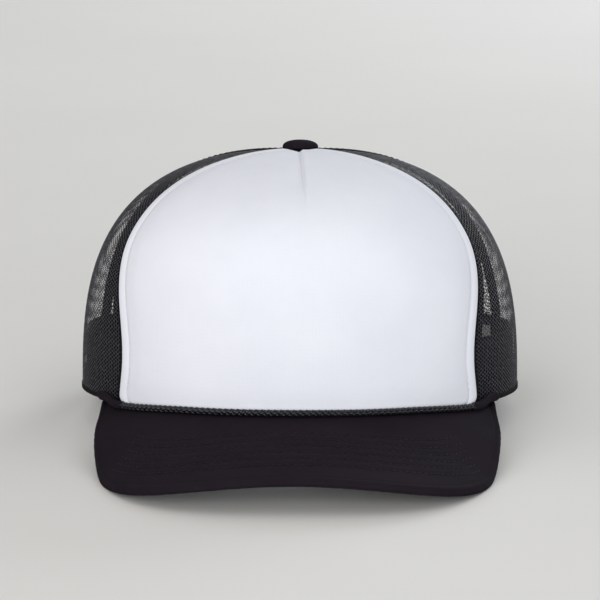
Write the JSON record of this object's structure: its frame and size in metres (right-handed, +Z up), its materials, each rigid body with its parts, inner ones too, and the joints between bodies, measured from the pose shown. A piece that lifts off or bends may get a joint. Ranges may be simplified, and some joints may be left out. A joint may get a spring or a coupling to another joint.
{
  "type": "cap",
  "caption": "Cap with padded front panel, mesh sides and back, curved visor with rope trim, top button and adjustable snap closure.",
  "frame": {"origin": "centre of the bounding box at the bottom, on the surface the cap stands on", "axes": "+Z up, the visor points to -Y, +X is the wearer's left; the cap stands on its visor corners and the back of its rim, so its rim plane is tipped back by 6.2 degrees"},
  "size_m": [0.188, 0.2658, 0.1174],
  "materials": {
    "front_foam": "foam-backed knit, matt",
    "crown_mesh": "knitted polyester mesh, slight sheen",
    "visor_fabric": "plain woven cotton-polyester, matt",
    "visor_board": "satin",
    "button_metal": "plain",
    "strap_plastic": "satin moulded",
    "thread_white": "spun thread",
    "thread_black": "spun thread",
    "rope_braid": "braided cord",
    "sweatband_fabric": "brushed twill",
    "label_fabric": "satin ribbon, blank",
    "tape_fabric": "twill tape"
  },
  "bodies": {
    "cap": {"front_panel": "front_foam", "side_mesh_right": "crown_mesh", "side_mesh_left": "crown_mesh", "back_mesh_right": "crown_mesh", "back_mesh_left": "crown_mesh", "arch_binding": "tape_fabric", "front_seam_tape_right": "tape_fabric", "front_seam_tape_left": "tape_fabric", "side_seam_tape_right": "tape_fabric", "side_seam_tape_left": "tape_fabric", "back_seam_tape": "tape_fabric", "front_stitching_right": "thread_white", "front_stitching_left": "thread_white", "sweatband": "sweatband_fabric", "sweatband_stitching": "thread_black", "size_label": "label_fabric", "visor_top_cover": "visor_fabric", "visor_board": "visor_board", "visor_edge_fold": "visor_fabric", "visor_under_cover": "visor_fabric", "visor_stitching": "thread_black", "rope": "rope_braid", "rope_tuck_right": "visor_fabric", "rope_tuck_left": "visor_fabric", "button_cover": "visor_fabric", "button_shell": "button_metal", "button_washer": "button_metal", "hole_strap_tab": "strap_plastic", "peg_strap_tab": "strap_plastic"},
    "hole_strap_body": {"hole_strap": "strap_plastic"},
    "peg_strap_body": {"peg_strap": "strap_plastic"}
  },
  "joints": [
    {"name": "hole_strap_bend", "type": "hinge", "parent": "cap", "child": "hole_strap_body", "pos_m": [-0.04186, 0.12049, 0.01439], "axis": [0, 0.1078, 0.9942], "range_deg": [0, 50], "stiffness_Nm_per_rad": 0.03},
    {"name": "peg_strap_bend", "type": "hinge", "parent": "cap", "child": "peg_strap_body", "pos_m": [0.04108, 0.1191, 0.01454], "axis": [0, 0.1078, 0.9942], "range_deg": [0, 55], "stiffness_Nm_per_rad": 0.03}
  ]
}
